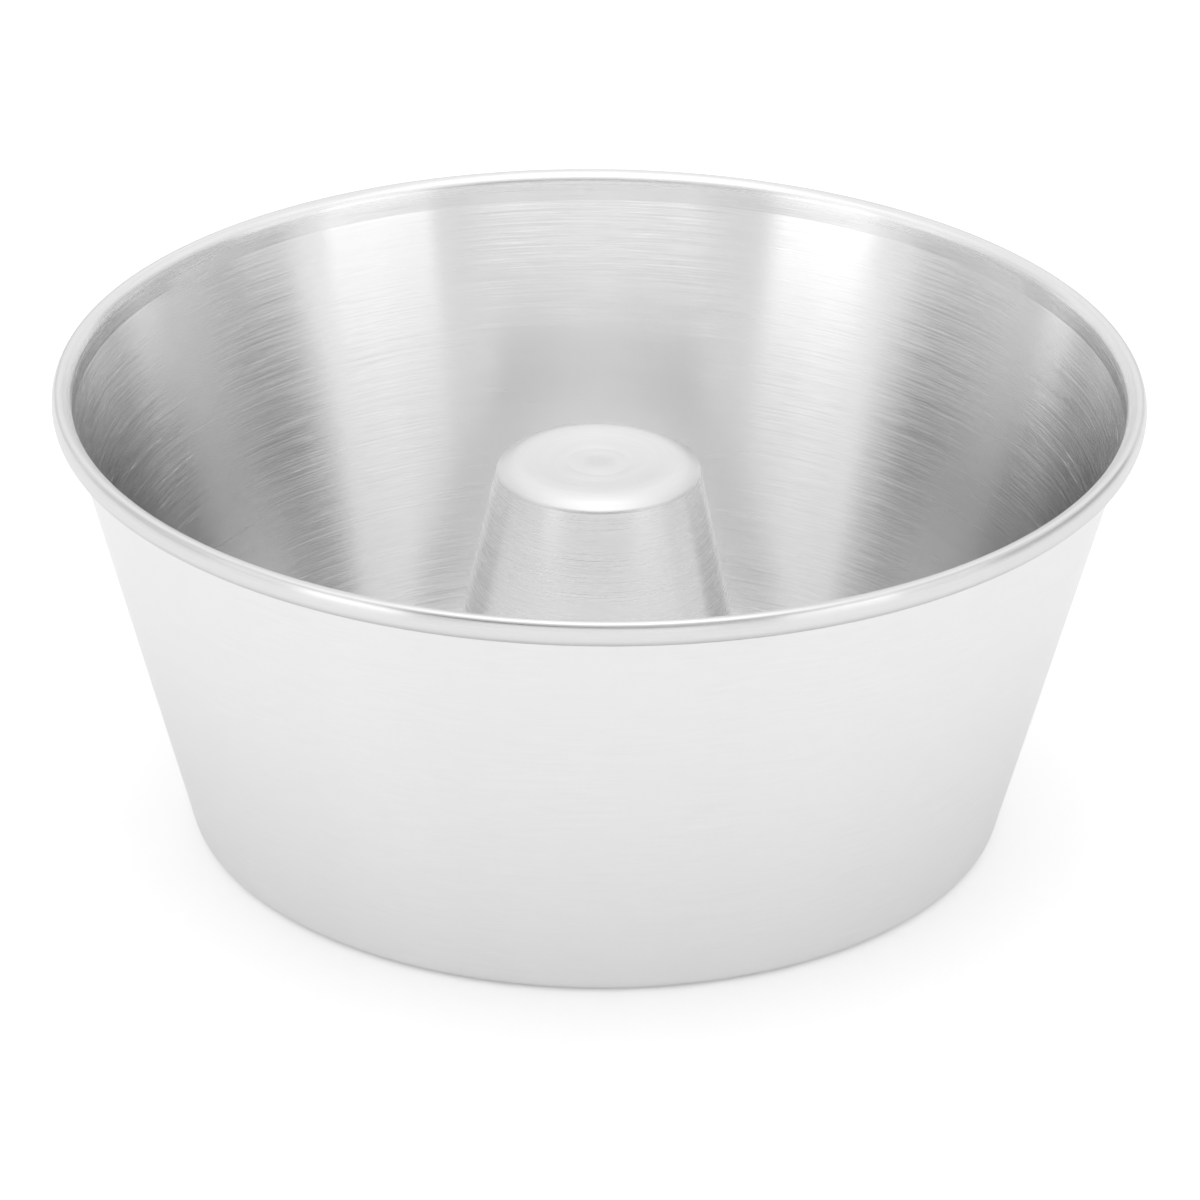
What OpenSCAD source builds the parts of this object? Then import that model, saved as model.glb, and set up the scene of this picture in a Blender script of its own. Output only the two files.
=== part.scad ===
// Angel food cake pan: a spun wall ring with a rolled rim, and a lift-out base with a closed cone.
// Millimetres, +Z up. The origin is on the table, on the pan's axis.

/* [Wall ring] */
// Outside diameter over the rolled rim
rim_d = 254; // [225:1:285]
// Height of the rolled rim above the table
pan_h = 109; // [90:1:130]
// Outside diameter of the foot, at the sharp corner on the table
foot_d = 191; // [170:1:210]
// Sheet of the wall and the ledge
wall_t = 1; // [0.7:0.1:1.3]
// Outside radius of the corner between the wall and the ledge
foot_r = 3.8; // [2.5:0.1:6]
// Width of the ledge that is turned in under the plate, from the sharp corner
ledge_w = 7; // [6:0.5:14]

/* [Rolled rim] */
// Width of the roll, which is flattened to an oval
roll_w = 4.5; // [4:0.1:6]
// Height of the roll
roll_h = 5.8; // [4.6:0.1:6.5]
// Turn of the roll from its outer side, under and in to its end
roll_turn = 128; // [100:1:135]

/* [Base plate] */
// Sheet of the base plate
plate_t = 1.2; // [0.8:0.1:2]
// Clearance between the plate's edge and the wall's corner
plate_gap = 0.4; // [0.3:0.1:1.5]
// Height of the step that lifts the panel off the table
panel_rise = 1.5; // [1.2:0.1:3]
// Clearance between the step and the edge of the ledge
step_gap = 1.5; // [0.5:0.1:4]
// Height of the collar round the cone, above the panel
collar_h = 4; // [2.5:0.5:10]
// Inside radius of the bend between the panel and the collar
collar_bend = 1; // [0.5:0.1:2]

/* [Cone] */
// Sheet of the cone
cone_t = 1; // [0.7:0.1:1.5]
// Height of the cone's top above the table
cone_h = 88.9; // [60:0.1:120]
// Outside diameter of the cone where it leaves the panel
cone_foot_d = 82; // [64:1:110]
// Outside diameter of the cone's top, at the sharp corner
cone_top_d = 46.8; // [36:0.1:60]
// Outside radius of the crown, between the dished top and the shoulder
crown_r = 8; // [5:0.1:10]
// Slope at which the crown ends and the shoulder begins
crown_end = 48; // [30:1:70]
// Outside radius of the shoulder, between the crown and the side
shoulder_r = 1.5; // [1:0.1:3]
// Diameter of the flat pad in the middle of the top
pad_d = 14.6; // [8:0.2:17]
// Width of the small step round the pad
pad_step_w = 2.4; // [0.5:0.1:3]
// Depth of the small step round the pad
pad_step = 0.2; // [0.1:0.1:0.6]
// Depth that the top is dished, from the crown to the step
dish = 0.5; // [0.2:0.1:1.5]
// Width of the flange that locks the cone under the panel
flange_w = 7; // [5:0.5:12]
// Inside radius of the bend between the cone and its flange
flange_bend = 1.2; // [0.6:0.1:1.6]
// Clearance between the cone and the collar
seam_gap = 0.05; // [0.02:0.01:0.15]

/* [Hidden] */
$fn = 96;

// Degrees between the points of a bend
bend_step = 7.5;

// Rolled rim: its middle, and the half width and half height of its sheet's middle line
roll_x = rim_d / 2 - roll_w / 2;
roll_z = pan_h - roll_h / 2;
roll_a = (roll_w - wall_t) / 2;
roll_b = (roll_h - wall_t) / 2;

// The wall runs straight from the corner on the table and touches the oval of the roll.
// Its lean is the direction of the roll's middle, less the angle that the oval's reach takes up.
to_roll = [roll_x - foot_d / 2, roll_z];
toward = atan(to_roll[0] / to_roll[1]);
function reach(lean) = norm([roll_a * cos(lean), roll_b * sin(lean)]);
function settle(lean, n) =
    n == 0 ? lean : settle(toward + asin((wall_t / 2 - reach(lean)) / norm(to_roll)), n - 1);
wall_lean = settle(toward, 5);
// Place on the oval where the wall touches it
roll_start = 180 - atan2(roll_b * sin(wall_lean), roll_a * cos(wall_lean));

// Middle of the foot's corner, where the flat of the ledge ends
corner_x = foot_d / 2 - foot_r / tan((90 + wall_lean) / 2);

// The plate rests on the ledge, and its panel is lifted off the table
plate_r = corner_x - plate_gap;
step_x = foot_d / 2 - ledge_w - step_gap;
panel_under = wall_t + panel_rise;
panel_top = panel_under + plate_t;

// Lean of the cone, and the radius of its outside at a height
cone_lean = atan((cone_foot_d - cone_top_d) / 2 / (cone_h - panel_top));
function cone_x(z) = cone_foot_d / 2 - (z - panel_top) * tan(cone_lean);
// From the crown's middle to the shoulder's middle, and where the dished top meets the crown
crown_reach = (crown_r - shoulder_r) * [cos(crown_end), sin(crown_end)];
crown_x = cone_top_d / 2 - crown_reach[0]
    - (shoulder_r - sin(cone_lean) * (crown_r - crown_reach[1])) / cos(cone_lean);

// Points of a bend round the middle m, from the angle a to the angle b
function bend(m, r, a, b) =
    let (n = ceil(abs(b - a) / bend_step))
    [for (i = [0 : n]) let (v = a + (b - a) * i / n) m + r * [cos(v), sin(v)]];

// Left-hand normal of the step from p to q
function left(p, q) = [p[1] - q[1], q[0] - p[0]] / norm(q - p);

// A path moved sideways by d, with mitred corners
function aside(path, d) =
    let (last = len(path) - 1)
    [for (i = [0 : last])
        let (u = left(path[max(i - 1, 0)], path[max(i, 1)]))
        let (v = left(path[min(i, last - 1)], path[min(i + 1, last)]))
        path[i] + d * (u + v) / (1 + u * v)];

// A path walked backwards
function back(path) = [for (i = [len(path) - 1 : -1 : 0]) path[i]];

// Sheet of thickness t, spun round the axis with the path as its middle line
module spun(path, t) {
    rotate_extrude()
        polygon(concat(aside(path, t / 2), back(aside(path, -t / 2))));
}

// Wall with the ledge turned in at its foot and the rim rolled outwards
module pan_ring() {
    ledge = [[foot_d / 2 - ledge_w, wall_t / 2]];
    corner = bend([corner_x, foot_r], foot_r - wall_t / 2, -90, -wall_lean);
    round = bend([0, 0], 1, roll_start, -roll_turn);
    roll = [for (p = round) [roll_x + roll_a * p[0], roll_z + roll_b * p[1]]];
    color("gainsboro")
        spun(concat(ledge, corner, roll), wall_t);
}

// Lift-out plate: flat edge on the ledge, step up to the panel, collar round the cone
module base_plate() {
    edge_z = wall_t + plate_t / 2;
    panel_z = edge_z + panel_rise;
    bend_r = collar_bend + plate_t / 2;
    bend_z = panel_z + bend_r;
    bend_x = cone_x(bend_z) + (seam_gap + plate_t + collar_bend) / cos(cone_lean);
    collar_z = panel_top + collar_h;
    collar_x = cone_x(collar_z) + (seam_gap + plate_t / 2) / cos(cone_lean);
    rest = [[plate_r, edge_z], [step_x, edge_z], [step_x - panel_rise, panel_z]];
    turn = bend([bend_x, bend_z], bend_r, 270, 180 + cone_lean);
    color("silver")
        spun(concat(rest, turn, [[collar_x, collar_z]]), plate_t);
}

// Closed cone: pad and dished top, crown and shoulder, straight taper, flange under the panel
module centre_cone() {
    pad_z = cone_h - cone_t / 2 - dish - pad_step;
    flange_z = panel_under - cone_t / 2;
    bend_r = flange_bend + cone_t / 2;
    bend_z = flange_z + bend_r;
    bend_x = cone_x(bend_z) + flange_bend / cos(cone_lean);
    flange_x = cone_x(panel_under) + flange_w;
    pad = [[0, pad_z], [pad_d / 2, pad_z], [pad_d / 2 + pad_step_w, pad_z + pad_step]];
    crown = bend([crown_x, cone_h - crown_r], crown_r - cone_t / 2, 90, crown_end);
    shoulder = bend([crown_x, cone_h - crown_r] + crown_reach, shoulder_r - cone_t / 2, crown_end, cone_lean);
    past_crown = [for (i = [1 : len(shoulder) - 1]) shoulder[i]];
    turn = bend([bend_x, bend_z], bend_r, 180 + cone_lean, 270);
    color("lightgray")
        spun(concat(pad, crown, past_crown, turn, [[flange_x, flange_z]]), cone_t);
}

pan_ring();
base_plate();
centre_cone();
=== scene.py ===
"""Angel food cake pan: satin aluminium ring with a rolled rim, and a lift-out base with a closed cone."""
import math

import bpy
import numpy as np
from mathutils import Matrix, Vector


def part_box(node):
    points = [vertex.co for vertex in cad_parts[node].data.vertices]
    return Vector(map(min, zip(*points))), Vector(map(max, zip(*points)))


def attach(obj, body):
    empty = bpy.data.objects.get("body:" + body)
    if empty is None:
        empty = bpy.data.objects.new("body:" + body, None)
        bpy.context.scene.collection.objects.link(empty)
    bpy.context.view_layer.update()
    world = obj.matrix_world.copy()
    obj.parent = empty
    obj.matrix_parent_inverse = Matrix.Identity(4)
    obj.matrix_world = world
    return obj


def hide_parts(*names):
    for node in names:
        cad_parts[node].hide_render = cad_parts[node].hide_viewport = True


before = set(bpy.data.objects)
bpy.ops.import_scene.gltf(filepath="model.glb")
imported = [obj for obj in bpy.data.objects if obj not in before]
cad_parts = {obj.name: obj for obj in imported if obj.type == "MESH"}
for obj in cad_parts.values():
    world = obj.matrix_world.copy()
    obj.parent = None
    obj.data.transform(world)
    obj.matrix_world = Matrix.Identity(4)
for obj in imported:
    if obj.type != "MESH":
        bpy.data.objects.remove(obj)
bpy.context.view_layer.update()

# The wall ring.
# One disc of 1 mm aluminium, spun to a flared wall. Its foot is turned in as a ledge for the base.
# Its top is creased, leans out a little more, and is rolled outwards to a rim that is flatter outside.
MM = 0.001
COLUMNS = 384
WALL_SHEET = 1.0 * MM
FOOT_RADIUS = 95.5 * MM
FOOT_CORNER = 3.8 * MM
LEDGE_WIDTH = 7.0 * MM
ROLL_INNER = 3.0 * MM
ROLL_OUTER = 1.5 * MM
ROLL_HEIGHT = 5.8 * MM
ROLL_TURN = 124.0  # degrees, from its outer side, under and in to its end
CREASE_HEIGHT = 102.3 * MM
NECK_LEAN = math.radians(10)


def bend(middle, radius, start, stop, step=4.0):
    """Arc round the middle from one angle to another, in degrees, with a point every step or less."""
    angle = np.radians(np.linspace(start, stop, 1 + math.ceil(abs(stop - start) / step)))
    return np.array(middle) + radius * np.stack([np.cos(angle), np.sin(angle)], -1)


def aside(path, offset):
    """The path moved left by the offset: each point goes along the mitre of its neighbouring steps."""
    step = np.diff(path, axis=0)
    normal = np.stack([-step[:, 1], step[:, 0]], -1) / np.linalg.norm(step, axis=1)[:, None]
    before = np.vstack([normal[:1], normal])
    after = np.vstack([normal, normal[-1:]])
    mitre = (before + after) / (1 + np.sum(before * after, axis=1))[:, None]
    return path + offset * mitre


def sheet_outline(path, thickness):
    """Outline of a sheet along the path: its left face forwards, then its right face backwards."""
    return np.vstack([aside(path, thickness / 2), aside(path, -thickness / 2)[::-1]])


def refined(outline, longest=3.0 * MM, guard=0.15 * MM):
    """The outline with extra points close to both sides of every corner, and at every longest length."""
    run = np.concatenate([[0], np.cumsum(np.linalg.norm(np.diff(outline, axis=0), axis=1))])
    wanted = np.concatenate([run, run[1:] - guard, run[:-1] + guard, np.arange(0, run[-1], longest)])
    wanted = np.unique(np.clip(wanted, 0, run[-1]))
    near_corner = np.min(np.abs(wanted[:, None] - run[None, :]), axis=1)
    keep = (near_corner == 0) | (near_corner >= guard * 0.99)
    kept = wanted[keep]
    return np.stack([np.interp(kept, run, outline[:, 0]), np.interp(kept, run, outline[:, 1])], -1)


def spin(name, outline):
    """Surface of revolution: the point (r, z) becomes (r cos a, r sin a, z) at every column's angle a.

    The outline has the open air on its left. A point on the axis becomes one pole. The UV map called spun
    holds the share of a turn and the length run along the outline, in metres.
    """
    closed = outline[0, 0] > 0
    ring = np.vstack([outline, outline[:1]]) if closed else outline
    run = np.concatenate([[0], np.cumsum(np.linalg.norm(np.diff(ring, axis=0), axis=1))])
    rows = len(outline)
    angle = np.linspace(0, 2 * np.pi, COLUMNS, endpoint=False)
    radius, height = outline[:, :1], outline[:, 1:]
    points = np.stack([radius * np.cos(angle), radius * np.sin(angle), height + 0 * angle], -1).reshape(-1, 3)
    index = np.arange(rows * COLUMNS).reshape(rows, COLUMNS)
    pole = outline[:, 0] <= 0
    index[pole] = index[pole][:, :1]
    row = np.arange(rows if closed else rows - 1)[:, None]
    column = np.arange(COLUMNS)[None, :]
    next_row, next_column = (row + 1) % rows, (column + 1) % COLUMNS
    corners = [(row, row, column, column), (next_row, row + 1, column, column),
               (next_row, row + 1, next_column, column + 1), (row, row, next_column, column + 1)]
    quads = np.stack([index[r, c] + 0 * column for r, _, c, _ in corners], -1).reshape(-1, 4)
    spun = np.stack([np.stack([(c + 0.0 * row) / COLUMNS, run[r] + 0.0 * column], -1)
                     for _, r, _, c in corners], -2).reshape(-1, 4, 2)
    starts_at_pole = quads[:, 0] == quads[:, 3]
    ends_at_pole = quads[:, 1] == quads[:, 2]
    whole = ~(starts_at_pole | ends_at_pole)
    groups = [(quads[whole], spun[whole]),
              (quads[starts_at_pole][:, :3], spun[starts_at_pole][:, :3]),
              (quads[ends_at_pole][:, [0, 1, 3]], spun[ends_at_pole][:, [0, 1, 3]])]
    used, flat = np.unique(np.concatenate([q.ravel() for q, _ in groups]), return_inverse=True)
    sizes = np.concatenate([np.full(len(q), q.shape[1]) for q, _ in groups])
    faces = np.split(flat, np.cumsum(sizes)[:-1])
    mesh = bpy.data.meshes.new(name)
    mesh.from_pydata(points[used].tolist(), [], [face.tolist() for face in faces])
    layer = mesh.uv_layers.new(name="spun")
    layer.data.foreach_set("uv", np.concatenate([uv.ravel() for _, uv in groups]).astype(np.float32))
    mesh.shade_smooth()
    mesh.set_sharp_from_angle(angle=math.radians(40))
    mesh.validate()
    piece = bpy.data.objects.new(name, mesh)
    bpy.context.scene.collection.objects.link(piece)
    return piece


ring_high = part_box("pan_ring")[1]
roll_middle = np.array([ring_high.x - ROLL_OUTER, ring_high.z - ROLL_HEIGHT / 2])
roll_inner, roll_outer, roll_half = np.array([ROLL_INNER, ROLL_OUTER, ROLL_HEIGHT / 2]) - WALL_SHEET / 2
roll_start = 180 - math.degrees(math.atan2(roll_half * math.sin(NECK_LEAN), roll_inner * math.cos(NECK_LEAN)))
turn = bend((0, 0), 1.0, roll_start, -ROLL_TURN, 3.0)
roll_reach = np.stack([np.where(turn[:, 0] < 0, roll_inner, roll_outer), np.full(len(turn), roll_half)], -1)
roll = roll_middle + turn * roll_reach
crease_x = roll[0, 0] - (roll[0, 1] - CREASE_HEIGHT) * math.tan(NECK_LEAN)
wall_lean = (math.atan((crease_x - FOOT_RADIUS) / CREASE_HEIGHT)
             + math.asin(WALL_SHEET / 2 / math.hypot(crease_x - FOOT_RADIUS, CREASE_HEIGHT)))
corner_x = FOOT_RADIUS - FOOT_CORNER / math.tan(math.radians(90) / 2 + wall_lean / 2)
ring_path = np.vstack([
    [(FOOT_RADIUS - LEDGE_WIDTH, WALL_SHEET / 2)],
    bend((corner_x, FOOT_CORNER), FOOT_CORNER - WALL_SHEET / 2, -90, -math.degrees(wall_lean)),
    [(crease_x, CREASE_HEIGHT)],
    roll,
])
pan_ring = spin("pan_ring_spun", refined(sheet_outline(ring_path, WALL_SHEET)))
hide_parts("pan_ring")
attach(pan_ring, "ring")


def turned_noise():
    """Shader group: noise drawn out round the axis, as the marks of a tool are on turned metal.

    The place is turned about Z by lean times run. One cell of the noise is then around wide and across high:
    its point is (x / around, y / around, run / across).
    """
    group = bpy.data.node_groups.new("turned_noise", "ShaderNodeTree")
    for socket, kind in (("Place", "Vector"), ("Run", "Float"), ("Lean", "Float"), ("Around", "Float"),
                         ("Across", "Float"), ("Detail", "Float")):
        group.interface.new_socket(socket, in_out="INPUT", socket_type="NodeSocket" + kind)
    group.interface.new_socket("Value", in_out="OUTPUT", socket_type="NodeSocketFloat")
    nodes, links = group.nodes, group.links
    given, result = nodes.new("NodeGroupInput"), nodes.new("NodeGroupOutput")
    turn = nodes.new("ShaderNodeMath")
    turn.operation = "MULTIPLY"
    turned = nodes.new("ShaderNodeVectorRotate")
    turned.rotation_type = "Z_AXIS"
    parts = nodes.new("ShaderNodeSeparateXYZ")
    cell = nodes.new("ShaderNodeCombineXYZ")
    links.new(given.outputs["Run"], turn.inputs[0])
    links.new(given.outputs["Lean"], turn.inputs[1])
    links.new(given.outputs["Place"], turned.inputs["Vector"])
    links.new(turn.outputs[0], turned.inputs["Angle"])
    links.new(turned.outputs["Vector"], parts.inputs[0])
    for axis, source, size in (("X", parts.outputs["X"], "Around"), ("Y", parts.outputs["Y"], "Around"),
                               ("Z", given.outputs["Run"], "Across")):
        share = nodes.new("ShaderNodeMath")
        share.operation = "DIVIDE"
        links.new(source, share.inputs[0])
        links.new(given.outputs[size], share.inputs[1])
        links.new(share.outputs[0], cell.inputs[axis])
    noise = nodes.new("ShaderNodeTexNoise")
    noise.inputs["Scale"].default_value = 1
    links.new(cell.outputs[0], noise.inputs["Vector"])
    links.new(given.outputs["Detail"], noise.inputs["Detail"])
    links.new(noise.outputs["Fac"], result.inputs["Value"])
    return group


TURNED_NOISE = turned_noise()


class TurnedMetal:
    """Bright aluminium turned on a lathe: the material, and short ways to add a mark, a sum or a mask."""

    def __init__(self, name, turned=1.0):
        self.material = bpy.data.materials.new(name)
        self.material.use_nodes = True
        self.nodes, self.links = self.material.node_tree.nodes, self.material.node_tree.links
        self.shader = self.nodes["Principled BSDF"]
        self.shader.inputs["Metallic"].default_value = 1
        self.shader.inputs["Anisotropic"].default_value = turned
        self.shader.inputs["Anisotropic Rotation"].default_value = 0.25
        tangent = self.nodes.new("ShaderNodeTangent")
        tangent.direction_type = "UV_MAP"
        tangent.uv_map = "spun"
        self.links.new(tangent.outputs["Tangent"], self.shader.inputs["Tangent"])
        self.place = self.nodes.new("ShaderNodeTexCoord").outputs["Object"]
        spun = self.nodes.new("ShaderNodeUVMap")
        spun.uv_map = "spun"
        parts = self.nodes.new("ShaderNodeSeparateXYZ")
        self.links.new(spun.outputs["UV"], parts.inputs[0])
        self.run = parts.outputs["Y"]

    def set(self, socket, value):
        """Give a socket a value, or a link from another socket."""
        if isinstance(value, bpy.types.NodeSocket):
            self.links.new(value, socket)
        else:
            socket.default_value = value

    def reckon(self, operation, first, second=0.0, third=0.0):
        """One Math node, with its inputs given in order."""
        node = self.nodes.new("ShaderNodeMath")
        node.operation = operation
        for socket, value in zip(node.inputs, (first, second, third)):
            self.set(socket, value)
        return node.outputs[0]

    def marks(self, around, across, lean=0.0, detail=1.0):
        """Turned noise with cells of this size in metres, leaning this many radians for each metre of run."""
        node = self.nodes.new("ShaderNodeGroup")
        node.node_tree = TURNED_NOISE
        for socket, value in (("Place", self.place), ("Run", self.run), ("Lean", lean), ("Around", around),
                              ("Across", across), ("Detail", detail)):
            self.set(node.inputs[socket], value)
        return node.outputs["Value"]

    def ramp(self, value, start, stop, low=0.0, high=1.0):
        """Smooth step from low at start to high at stop."""
        node = self.nodes.new("ShaderNodeMapRange")
        node.interpolation_type = "SMOOTHSTEP"
        for socket, given in zip(node.inputs, (value, start, stop, low, high)):
            self.set(socket, given)
        return node.outputs[0]

    def line(self, place, width):
        """Mask of one turned line, round the piece at this place on the run."""
        away = self.reckon("ABSOLUTE", self.reckon("SUBTRACT", self.run, place))
        return self.ramp(away, 0.0, width, 1.0, 0.0)

    def finish(self, shade, roughness, height):
        """Plug the shade and roughness in, and the height, in millimetres, through a Bump node."""
        grey = self.nodes.new("ShaderNodeCombineColor")
        for socket in grey.inputs:
            self.set(socket, shade)
        self.links.new(grey.outputs[0], self.shader.inputs["Base Color"])
        self.set(self.shader.inputs["Roughness"], roughness)
        bump = self.nodes.new("ShaderNodeBump")
        bump.inputs["Distance"].default_value = MM
        self.links.new(height, bump.inputs["Height"])
        self.links.new(bump.outputs["Normal"], self.shader.inputs["Normal"])


# Each kind of mark has a width round the pan, a height along the run, and a lean.
SHADE = 0.92
SHADE_RANGE = 0.022
SATIN = 0.2
HAIRS = 0.11
TURNED_LINE = (60 * MM, 0.3 * MM)
HAIR_ONE_WAY = (9 * MM, 0.22 * MM, 0.5)
HAIR_OTHER_WAY = (8 * MM, 0.26 * MM, -0.8)
HAND_WAVE = (11 * MM, 90 * MM)


def satin(metal, roughness, hairs, lines, waves, grooves=0.0, tone_and_painted_shade=1.0):
    """Plug in the satin finish: the shade, the roughness and the height.

    Roughness = the given one + rubbed hairs in two leans, whose sum is 1 on average, + turned lines.
    Height in millimetres = long turned lines + slow waves left by the hand tool + the grooves.
    Shade = SHADE, a little up and down with the hairs and lines, times the last factor: the metal's own tone,
    and on the ring also painted shade.
    """
    turned = metal.marks(*TURNED_LINE)
    rubbed = metal.reckon("ADD", metal.marks(*HAIR_ONE_WAY), metal.marks(*HAIR_OTHER_WAY))
    wavy = metal.marks(*HAND_WAVE, detail=0.0)
    height = metal.reckon("MULTIPLY", turned, lines)
    height = metal.reckon("MULTIPLY_ADD", wavy, waves, height)
    height = metal.reckon("ADD", height, grooves)
    roughness = metal.reckon("MULTIPLY_ADD", metal.reckon("SUBTRACT", rubbed, 1.0), hairs, roughness)
    roughness = metal.reckon("MULTIPLY_ADD", metal.reckon("SUBTRACT", turned, 0.5), 2 * HAIRS, roughness)
    all_marks = metal.reckon("ADD", turned, rubbed)
    shade = metal.ramp(all_marks, 1.0, 2.0, SHADE - SHADE_RANGE, SHADE + SHADE_RANGE)
    shade = metal.reckon("MULTIPLY", shade, tone_and_painted_shade)
    metal.finish(shade, roughness, height)


def run_to_height(outline, z):
    """Length run along the outline to where it first climbs to the height z."""
    run = np.concatenate([[0], np.cumsum(np.linalg.norm(np.diff(outline, axis=0), axis=1))])
    climb = slice(0, int(np.argmax(outline[:, 1])) + 1)
    return float(np.interp(z, outline[climb, 1], run[climb]))


ROLL_SATIN = 0.26
POLISH = 0.22
LOWER_LINE = 94.6 * MM
CREASE_DEPTH, LOWER_LINE_DEPTH = 0.006, 0.004
# Tones of the crown and neck, and the strength of the painted shade under the roll.
WORN_CROWN, FRESH_NECK, UNDER_ROLL_SHADE = 0.88, 1.06, 0.24
# Strength of the painted shade low inside, on the right and on the left.
PAINTED_SHADE_RIGHT, PAINTED_SHADE_LEFT = 0.3, 0.22

ring_outline = sheet_outline(ring_path, WALL_SHEET)
crown_run = run_to_height(ring_outline, ring_high.z)
ring_metal = TurnedMetal("satin_aluminium_ring")


def past_crown(start, stop, low=0.0, high=1.0):
    """Smooth step from low to high between two places on the run, in millimetres past the rim's crown."""
    return ring_metal.ramp(ring_metal.run, crown_run + start * MM, crown_run + stop * MM, low, high)


hairs = past_crown(-6, -4, HAIRS, 0.1 * HAIRS)
roughness = past_crown(-6.5, -4.5, SATIN, ROLL_SATIN)
roughness = past_crown(-2.7, -2.1, roughness, POLISH)
roughness = past_crown(6, 8, roughness, SATIN)
crease_line = ring_metal.line(run_to_height(ring_outline, CREASE_HEIGHT), 0.5 * MM)
lower_line = ring_metal.line(run_to_height(ring_outline, LOWER_LINE), 0.4 * MM)
grooves = ring_metal.reckon("MULTIPLY", crease_line, -CREASE_DEPTH)
grooves = ring_metal.reckon("MULTIPLY_ADD", lower_line, -LOWER_LINE_DEPTH, grooves)

# The crown is worn and the neck below it is fresher. Under the roll on the outside, the metal is painted
# darker as shade.
wear_and_painted_shade = past_crown(-6, -4.5, 1.0, FRESH_NECK)
wear_and_painted_shade = past_crown(-3, -1, wear_and_painted_shade, WORN_CROWN)
wear_and_painted_shade = past_crown(9.5, 12, wear_and_painted_shade, 1.0)
painted_shade_under_roll = ring_metal.reckon("MULTIPLY", past_crown(4.5, 6.6), past_crown(7.5, 8.5, UNDER_ROLL_SHADE, 0.0))
wear_and_painted_shade = ring_metal.reckon("MULTIPLY", wear_and_painted_shade, ring_metal.reckon("SUBTRACT", 1.0, painted_shade_under_roll))

# Inside, low at the back on the right and left, painted shade makes the metal up to 30 % darker.
across = ring_metal.nodes.new("ShaderNodeSeparateXYZ")
ring_metal.links.new(ring_metal.place, across.inputs[0])
side_right = ring_metal.ramp(across.outputs["X"], 66 * MM, 90 * MM, 0.0, PAINTED_SHADE_RIGHT)
side_left = ring_metal.ramp(across.outputs["X"], -68 * MM, -90 * MM, 0.0, PAINTED_SHADE_LEFT)
painted_shade_sides = ring_metal.reckon("ADD", side_right, side_left)
painted_shade_sides = ring_metal.reckon("MULTIPLY", painted_shade_sides, ring_metal.ramp(across.outputs["Y"], 5 * MM, 30 * MM))
inside_low = ring_metal.reckon("MULTIPLY", ring_metal.ramp(across.outputs["Z"], 40 * MM, 85 * MM, 1.0, 0.0),
                            past_crown(-8, 0, 1.0, 0.0))
painted_shade_sides = ring_metal.reckon("MULTIPLY", painted_shade_sides, inside_low)
wear_and_painted_shade = ring_metal.reckon("MULTIPLY", wear_and_painted_shade, ring_metal.reckon("SUBTRACT", 1.0, painted_shade_sides))
satin(ring_metal, roughness, hairs, lines=0.008, waves=0.03, grooves=grooves, tone_and_painted_shade=wear_and_painted_shade)
pan_ring.data.materials.append(ring_metal.material)

# The base plate.
# A disc of 1.2 mm aluminium. Its flat edge lies loose on the ledge, a step lifts its panel off the table,
# and a collar is turned up round the hole in its middle, tight against the cone.
PLATE_SHEET = 1.2 * MM
PLATE_GAP = 0.4 * MM
PANEL_RISE = 1.5 * MM
STEP_GAP = 1.5 * MM
COLLAR_HEIGHT = 4.0 * MM
COLLAR_BEND = 1.0 * MM
SEAM_GAP = 0.05 * MM
CONE_FOOT = 41.0 * MM
CONE_TOP = 23.4 * MM

cone_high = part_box("centre_cone")[1]
panel_under = WALL_SHEET + PANEL_RISE
panel_top = panel_under + PLATE_SHEET
cone_lean = math.atan((CONE_FOOT - CONE_TOP) / (cone_high.z - panel_top))


def cone_x(z):
    """Outside radius of the cone at the height z: a straight taper from its foot on the panel."""
    return CONE_FOOT - (z - panel_top) * math.tan(cone_lean)


edge_z = WALL_SHEET + PLATE_SHEET / 2
panel_z = edge_z + PANEL_RISE
step_x = FOOT_RADIUS - LEDGE_WIDTH - STEP_GAP
collar_radius = COLLAR_BEND + PLATE_SHEET / 2
collar_x = cone_x(panel_z + collar_radius) + (SEAM_GAP + PLATE_SHEET + COLLAR_BEND) / math.cos(cone_lean)
collar_z = panel_top + COLLAR_HEIGHT
plate_path = np.vstack([
    [(corner_x - PLATE_GAP, edge_z), (step_x, edge_z), (step_x - PANEL_RISE, panel_z)],
    bend((collar_x, panel_z + collar_radius), collar_radius, 270, 180 + math.degrees(cone_lean)),
    [(cone_x(collar_z) + (SEAM_GAP + PLATE_SHEET / 2) / math.cos(cone_lean), collar_z)],
])
base_plate = spin("base_plate_spun", refined(sheet_outline(plate_path, PLATE_SHEET)))
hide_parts("base_plate")
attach(base_plate, "lift_out_base")
plate_metal = TurnedMetal("satin_aluminium_plate")
satin(plate_metal, SATIN, HAIRS, lines=0.012, waves=0.02)
base_plate.data.materials.append(plate_metal.material)

# The centre cone.
# Spun from 1 mm aluminium, closed at the top. The top is dished, with a small pad in its middle where
# the spinning block pressed. Its foot is turned out as a flange under the panel.
CONE_SHEET = 1.0 * MM
CROWN = 8.0 * MM
CROWN_END = 48.0  # degrees, the slope at which the crown ends and the shoulder begins
SHOULDER = 1.5 * MM
CONE_SATIN = 0.24
TOP_SATIN = 0.42
TOP_TURNED = 0.5
PAD_RADIUS = 7.3 * MM
PAD_STEP_WIDTH = 2.4 * MM
PAD_STEP = 0.15 * MM
PAD_LINE = 1.2 * MM
PAD_EDGE_DEPTH, PAD_RING_DEPTH = 0.03, 0.02
PAD_DULL, TOP_DULL = 0.84, 0.9
TOP_DISH = 0.5 * MM
FLANGE_WIDTH = 7.0 * MM
FLANGE_BEND = 1.2 * MM

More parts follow.
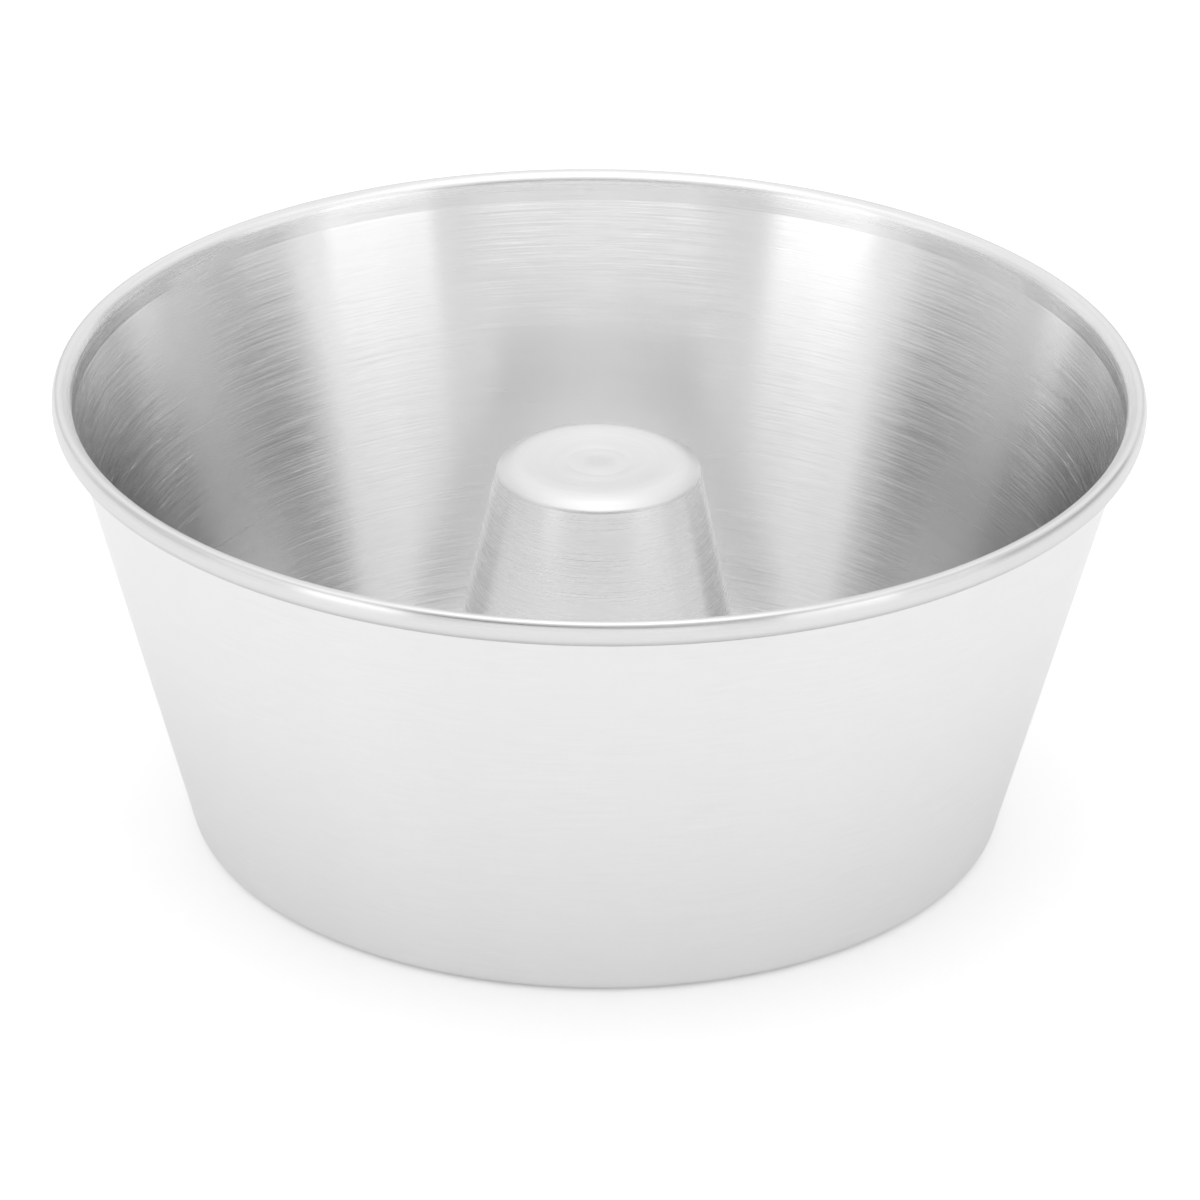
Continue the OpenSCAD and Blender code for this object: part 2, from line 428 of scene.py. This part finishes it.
crown_end = math.radians(CROWN_END)
crown_reach = (CROWN - SHOULDER) * np.array([math.cos(crown_end), math.sin(crown_end)])
shoulder_x = (SHOULDER - math.sin(cone_lean) * (CROWN - crown_reach[1])) / math.cos(cone_lean)
crown_x = CONE_TOP - crown_reach[0] - shoulder_x
crown_middle = np.array([crown_x, cone_high.z - CROWN])
dish_x = np.linspace(PAD_RADIUS + PAD_STEP_WIDTH, crown_x, 9)[:-1]
dish_share = (dish_x - dish_x[0]) / (crown_x - dish_x[0])
dish_z = cone_high.z - CONE_SHEET / 2 - TOP_DISH * (1 + np.cos(np.pi * dish_share)) / 2
pad_z = cone_high.z - CONE_SHEET / 2 - TOP_DISH - PAD_STEP
flange_z = panel_under - CONE_SHEET / 2
flange_radius = FLANGE_BEND + CONE_SHEET / 2
flange_x = cone_x(flange_z + flange_radius) + FLANGE_BEND / math.cos(cone_lean)
cone_path = np.vstack([
    [(0, pad_z), (PAD_RADIUS, pad_z)],
    np.stack([dish_x, dish_z], -1),
    bend(crown_middle, CROWN - CONE_SHEET / 2, 90, CROWN_END),
    bend(crown_middle + crown_reach, SHOULDER - CONE_SHEET / 2, CROWN_END, math.degrees(cone_lean), 12.0)[1:],
    bend((flange_x, flange_z + flange_radius), flange_radius, 180 + math.degrees(cone_lean), 270),
    [(cone_x(panel_under) + FLANGE_WIDTH, flange_z)],
])
centre_cone = spin("centre_cone_spun", refined(sheet_outline(cone_path, CONE_SHEET)))
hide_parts("centre_cone")
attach(centre_cone, "lift_out_base")
cone_metal = TurnedMetal("satin_aluminium_cone")
satin(cone_metal, CONE_SATIN, HAIRS, lines=0.012, waves=0.02)
top_metal = TurnedMetal("satin_aluminium_cone_top", TOP_TURNED)
pad_edge = top_metal.reckon("MULTIPLY", top_metal.line(PAD_RADIUS, PAD_LINE), -PAD_EDGE_DEPTH)
pad_ring = top_metal.line(PAD_RADIUS / 2, PAD_LINE)
pad_edge = top_metal.reckon("MULTIPLY_ADD", pad_ring, -PAD_RING_DEPTH, pad_edge)
pad_dull = top_metal.ramp(top_metal.run, 0.2 * PAD_RADIUS, 0.7 * PAD_RADIUS, PAD_DULL, TOP_DULL)
satin(top_metal, TOP_SATIN, HAIRS, lines=0.012, waves=0.0, grooves=pad_edge, tone_and_painted_shade=pad_dull)
centre_cone.data.materials.append(cone_metal.material)
centre_cone.data.materials.append(top_metal.material)
top_edge = crown_middle[1] + crown_reach[1] + SHOULDER * math.sin(cone_lean)
for face in centre_cone.data.polygons:
    if face.center.z > top_edge and face.normal.z > 0:
        face.material_index = 1

# The floor.
# A plain white floor that keeps the pan's shadow. A little glow, for the camera and for mirrors alone,
# keeps it white where the pan doesn't shade it.
FLOOR_HALF = 6.0
FLOOR_SHADE = 0.95
FLOOR_GLOW = 0.26
MIRRORED_GLOW = 0.05
floor_mesh = bpy.data.meshes.new("floor")
floor_mesh.from_pydata([(-FLOOR_HALF, -FLOOR_HALF, 0), (FLOOR_HALF, -FLOOR_HALF, 0),
                        (FLOOR_HALF, FLOOR_HALF, 0), (-FLOOR_HALF, FLOOR_HALF, 0)], [], [(0, 1, 2, 3)])
floor = bpy.data.objects.new("floor", floor_mesh)
bpy.context.scene.collection.objects.link(floor)
floor_paint = bpy.data.materials.new("white_floor")
floor_paint.use_nodes = True
floor_nodes, floor_links = floor_paint.node_tree.nodes, floor_paint.node_tree.links
floor_shader = floor_nodes["Principled BSDF"]
floor_shader.inputs["Base Color"].default_value = (FLOOR_SHADE, FLOOR_SHADE, FLOOR_SHADE, 1)
floor_shader.inputs["Roughness"].default_value = 1
floor_shader.inputs["Specular IOR Level"].default_value = 0
floor_shader.inputs["Emission Color"].default_value = (1, 1, 1, 1)
light_path = floor_nodes.new("ShaderNodeLightPath")
glow = 0.0
for ray, strength in (("Is Camera Ray", FLOOR_GLOW), ("Is Glossy Ray", MIRRORED_GLOW),
                      ("Is Transmission Ray", FLOOR_GLOW)):
    node = floor_nodes.new("ShaderNodeMath")
    node.operation = "MULTIPLY_ADD"
    floor_links.new(light_path.outputs[ray], node.inputs[0])
    node.inputs[1].default_value = strength
    if glow:
        floor_links.new(glow, node.inputs[2])
    else:
        node.inputs[2].default_value = 0
    glow = node.outputs[0]
floor_links.new(glow, floor_shader.inputs["Emission Strength"])
floor.data.materials.append(floor_paint)

# The studio tent.
# White cloth on all sides, brighter towards the top. The camera stands in a dark opening in front, at 270
# degrees, with a lamp on either side of it and a bright sheet above and below. Angles are in degrees.
TENT_LOW, TENT_HIGH = 0.71, 1.36  # the glow at 0 degrees, and what its slope would reach at 90
TENT_EVEN = 46  # the height from which the glow rises no more

studio = bpy.data.worlds.new("studio_tent")
studio.use_nodes = True
tent_nodes, tent_links = studio.node_tree.nodes, studio.node_tree.links
cloth = tent_nodes["Background"]


def tent_node(kind, *given, operation=None):
    """One node of the tent, with its inputs given in order as numbers, vectors or other nodes' outputs."""
    node = tent_nodes.new(kind)
    if operation:
        node.operation = operation
    for socket, value in zip(node.inputs, given):
        if isinstance(value, bpy.types.NodeSocket):
            tent_links.new(value, socket)
        else:
            socket.default_value = value
    return node.outputs["Value" if kind == "ShaderNodeVectorMath" and operation == "DOT_PRODUCT" else 0]


toward = tent_nodes.new("ShaderNodeTexCoord").outputs["Generated"]
upward_part = tent_nodes.new("ShaderNodeSeparateXYZ")
tent_links.new(toward, upward_part.inputs[0])
elevation = tent_node("ShaderNodeMath", upward_part.outputs["Z"], operation="ARCSINE")
elevation = tent_node("ShaderNodeMath", elevation, operation="DEGREES")
level_part = tent_node("ShaderNodeVectorMath", toward, (1, 1, 0), operation="MULTIPLY")
level_part = tent_node("ShaderNodeVectorMath", level_part, operation="NORMALIZE")


def soft_step(value, start, stop):
    """Mask that goes smoothly from 0 at start to 1 at stop."""
    node = tent_nodes.new("ShaderNodeMapRange")
    node.interpolation_type = "SMOOTHSTEP"
    tent_links.new(value, node.inputs["Value"])
    node.inputs["From Min"].default_value = start
    node.inputs["From Max"].default_value = stop
    return node.outputs["Result"]


def panel(middle, half, soft, low, high, low_soft, high_soft):
    """Mask of a panel: the angle from its middle is under half, and the height is from low to high.

    That angle is the arc cosine of the level direction times the panel's own level direction.
    """
    turn = math.radians(middle)
    beside = (math.cos(turn), math.sin(turn), 0)
    beside = tent_node("ShaderNodeVectorMath", level_part, beside, operation="DOT_PRODUCT")
    beside = tent_node("ShaderNodeMath", beside, operation="ARCCOSINE")
    beside = tent_node("ShaderNodeMath", beside, operation="DEGREES")
    mask = soft_step(beside, half + soft / 2, half - soft / 2)
    if low > 0:
        above = soft_step(elevation, low - low_soft / 2, low + low_soft / 2)
        mask = tent_node("ShaderNodeMath", mask, above, operation="MULTIPLY")
    if high < 90:
        below = soft_step(elevation, high + high_soft / 2, high - high_soft / 2)
        mask = tent_node("ShaderNodeMath", mask, below, operation="MULTIPLY")
    return mask


glare = tent_node("ShaderNodeMath", elevation, TENT_EVEN, operation="MINIMUM")
glare = tent_node("ShaderNodeMath", glare, (TENT_HIGH - TENT_LOW) / 90, TENT_LOW, operation="MULTIPLY_ADD")
for gain, mask in (
        (0.245, panel(265, 92, 49, 8, 90, 8, 0)),  # the whole front half
        (0.69, panel(220, 11.5, 8, 0, 22, 0, 8)),  # the lamp left of the camera
        (0.42, panel(320, 12.5, 3.2, 0, 24, 0, 8)),  # the lamp right of the camera
        (0.1, panel(89, 20, 34, 22, 40, 8, 8))):  # a sheet behind the pan
    glare = tent_node("ShaderNodeMath", mask, gain, glare, operation="MULTIPLY_ADD")
for dim, mask in (
        (1.0, panel(269, 38, 36, 19, 39.5, 7.3, 7.3)),  # the opening
        (0.51, panel(269, 92, 120, 26, 49, 10, 10)),  # the dark room seen round it
        (0.43, panel(21, 25, 10, 0, 21, 0, 10)),  # low on the right
        (0.16, panel(167.5, 19, 10, 0, 32, 0, 10))):  # low on the left
    kept = tent_node("ShaderNodeMath", mask, -dim, 1.0, operation="MULTIPLY_ADD")
    glare = tent_node("ShaderNodeMath", glare, kept, operation="MULTIPLY")
for gain, mask in (
        (0.37, panel(270, 24.7, 15, 0, 12.3, 0, 6)),  # a bright sheet under the opening
        (0.4, soft_step(elevation, 62, 80))):  # and one right overhead
    glare = tent_node("ShaderNodeMath", mask, gain, glare, operation="MULTIPLY_ADD")
tent_links.new(glare, cloth.inputs["Strength"])
cloth.inputs["Color"].default_value = (1, 1, 1, 1)
bpy.context.scene.world = studio

# The camera.
# It stands in front of the pan with a long lens, and looks down on it by the photograph's angle.
LENS = 221.39
CAMERA_DISTANCE = 1.738
CAMERA_ELEVATION = math.radians(26.33)
CAMERA_ROLL = math.radians(0.62)
AIM = Vector((0.00065, 0, 0.05224))

camera_data = bpy.data.cameras.new("camera")
camera_data.sensor_width = 36
camera_data.lens = LENS
camera = bpy.data.objects.new("camera", camera_data)
back = Vector((0, -math.cos(CAMERA_ELEVATION), math.sin(CAMERA_ELEVATION)))
level = Vector((1, 0, 0))
upward = back.cross(level)
right = level * math.cos(CAMERA_ROLL) + upward * math.sin(CAMERA_ROLL)
up = back.cross(right)
camera_turn = Matrix((right, up, back)).transposed().to_4x4()
camera.matrix_world = Matrix.Translation(AIM + back * CAMERA_DISTANCE) @ camera_turn
bpy.context.scene.collection.objects.link(camera)
bpy.context.scene.camera = camera
bpy.context.scene.view_settings.view_transform = "Standard"
